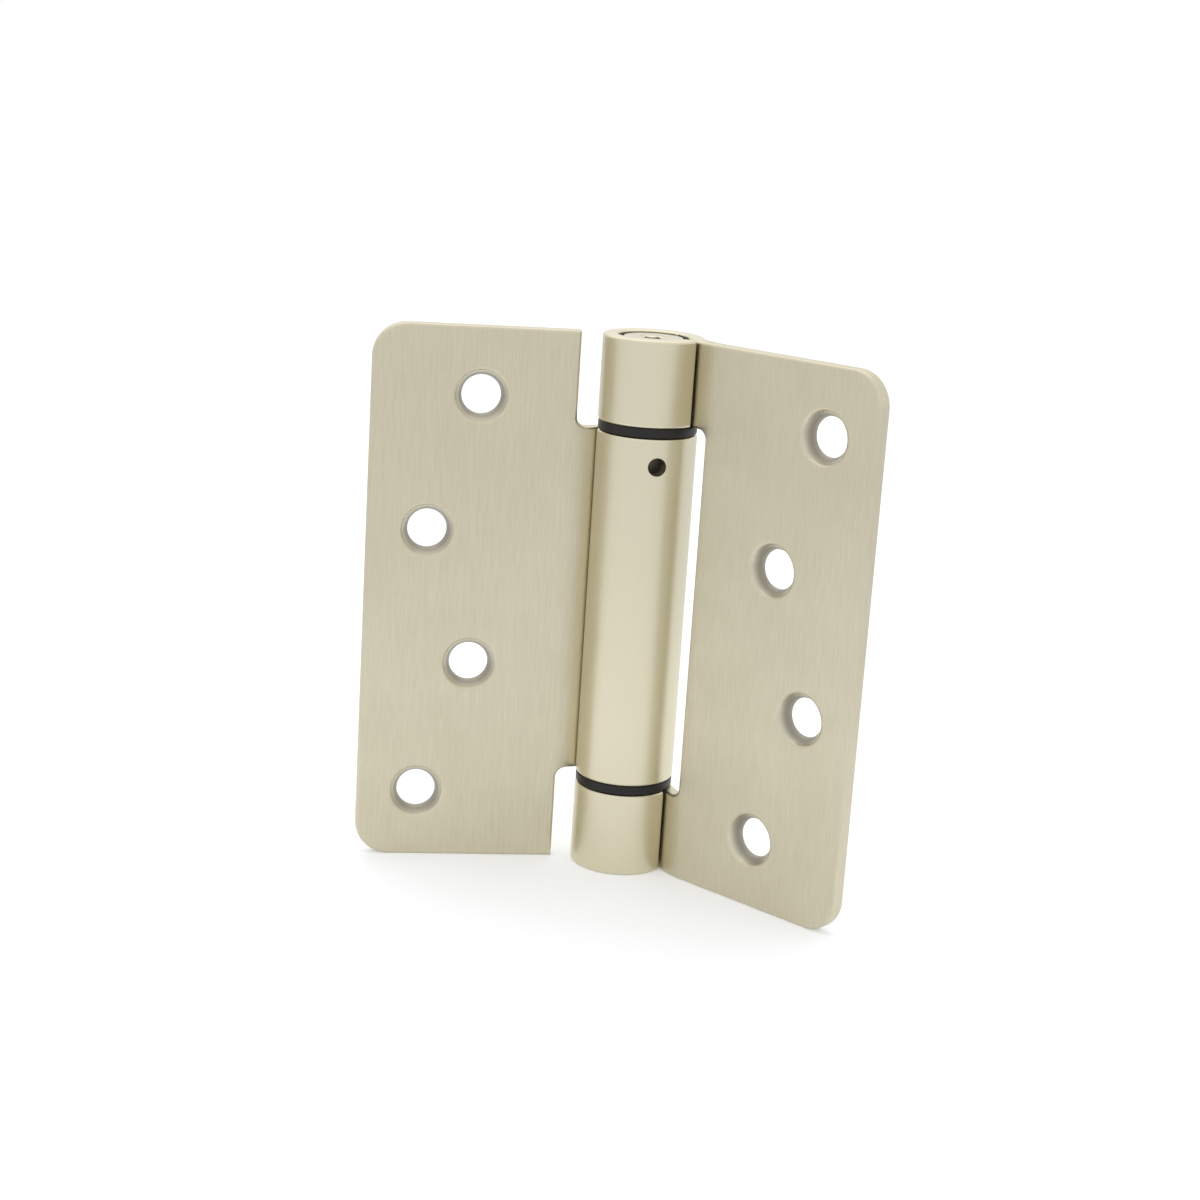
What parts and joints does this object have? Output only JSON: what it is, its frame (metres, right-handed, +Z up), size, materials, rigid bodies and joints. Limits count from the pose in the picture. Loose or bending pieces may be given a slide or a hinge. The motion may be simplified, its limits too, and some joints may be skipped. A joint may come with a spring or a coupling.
{
  "type": "spring hinge",
  "caption": "Full-mortise spring hinge: round-cornered steel leaves with countersunk screw holes, rolled on a knuckle axis, with a torsion spring in the centre barrel.",
  "frame": {"origin": "on the knuckle axis, at the foot of the lower knuckle, which stands level with the feet of both leaves", "axes": "+Z up along the knuckle axis; the barrel leaf reaches to -X with its screw face to -Y, and the knuckle leaf stands 130 degrees from it on the -Y side"},
  "size_m": [0.086, 0.0473, 0.1016],
  "materials": {
    "leaf_steel": "satin nickel plate, brushed along the knuckle axis",
    "plug_steel": "satin nickel plate, turned",
    "bearing_nylon": "moulded black nylon",
    "spring_steel": "oiled spring wire"
  },
  "bodies": {
    "knuckle_leaf": {"knuckle_leaf": "leaf_steel", "upper_bushing": "bearing_nylon", "anchor_plug": "plug_steel", "torsion_spring": "spring_steel"},
    "barrel_leaf": {"barrel_leaf": "leaf_steel", "lower_bushing": "bearing_nylon"},
    "adjuster": {"adjuster": "plug_steel"}
  },
  "joints": [
    {"name": "leaf_swing", "type": "hinge", "parent": "knuckle_leaf", "child": "barrel_leaf", "pos_m": [0, 0, 0.0508], "axis": [0, 0, 1], "range_deg": [-50, 130]},
    {"name": "adjuster_wind", "type": "hinge", "parent": "knuckle_leaf", "child": "adjuster", "pos_m": [0, 0, 0.0925], "axis": [0, 0, -1], "range_deg": [0, 270], "stiffness_Nm_per_rad": 0.7, "deforming": ["torsion_spring"]}
  ]
}
